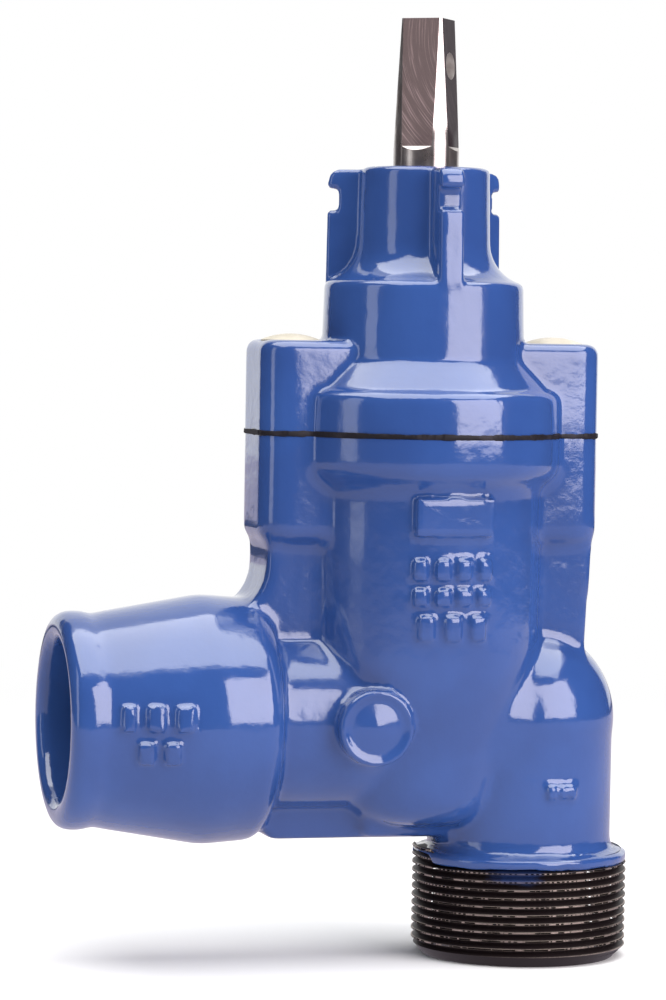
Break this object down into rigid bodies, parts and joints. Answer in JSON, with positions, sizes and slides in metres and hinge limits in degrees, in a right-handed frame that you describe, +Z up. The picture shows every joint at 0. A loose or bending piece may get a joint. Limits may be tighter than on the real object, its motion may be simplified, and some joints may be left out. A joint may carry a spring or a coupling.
{
  "type": "service line valve",
  "caption": "Angle gate valve for a water service pipe: push-fit pipe socket at the side, threaded outlet below, square key stem on top.",
  "frame": {"origin": "centre of the outlet's lower end face, on the outlet thread's axis", "axes": "+Z up along the outlet and parallel to the stem, -X out of the pipe socket's mouth, -Y towards the front with the single bayonet lug"},
  "size_m": [0.1626, 0.0774, 0.2584],
  "materials": {
    "blue_epoxy": "glossy fusion-bonded epoxy on cast iron",
    "black_rubber": "moulded rubber",
    "bolt_steel": "stainless, dull",
    "hot_melt": "waxy off-white hot melt",
    "stem_steel": "turned stainless with milled flats",
    "brass": "machined",
    "polyamide": "natural polyamide",
    "wedge_iron": "blasted cast iron"
  },
  "bodies": {
    "housing": {"valve_body": "blue_epoxy", "bonnet": "blue_epoxy", "bonnet_gasket": "black_rubber", "bonnet_bolts": "bolt_steel", "bolt_sealing_plugs": "hot_melt", "thrust_washers": "polyamide", "stem_bearing": "polyamide", "stem_o_rings": "black_rubber", "bearing_o_rings": "black_rubber", "wiper_ring": "black_rubber", "manchette": "black_rubber", "grip_ring": "brass", "support_ring": "polyamide", "socket_seal": "black_rubber"},
    "stem": {"stem": "stem_steel", "thrust_collar": "brass"},
    "wedge": {"wedge_core": "wedge_iron", "wedge_rubber": "black_rubber", "wedge_nut": "brass", "wedge_guide_shoes": "polyamide"}
  },
  "joints": [
    {"name": "stem_turn", "type": "hinge", "parent": "housing", "child": "stem", "pos_m": [-0.0305, 0, 0.24], "axis": [0, 0, 1], "range_deg": [0, 3060.5]},
    {"name": "wedge_lift", "type": "slide", "parent": "housing", "child": "wedge", "axis": [0, 0, 1], "range_m": [0, 0.0425]}
  ],
  "couplings": [
    {"joint": "stem_turn", "follows": "wedge_lift", "rad_per_m": 1256.6}
  ]
}
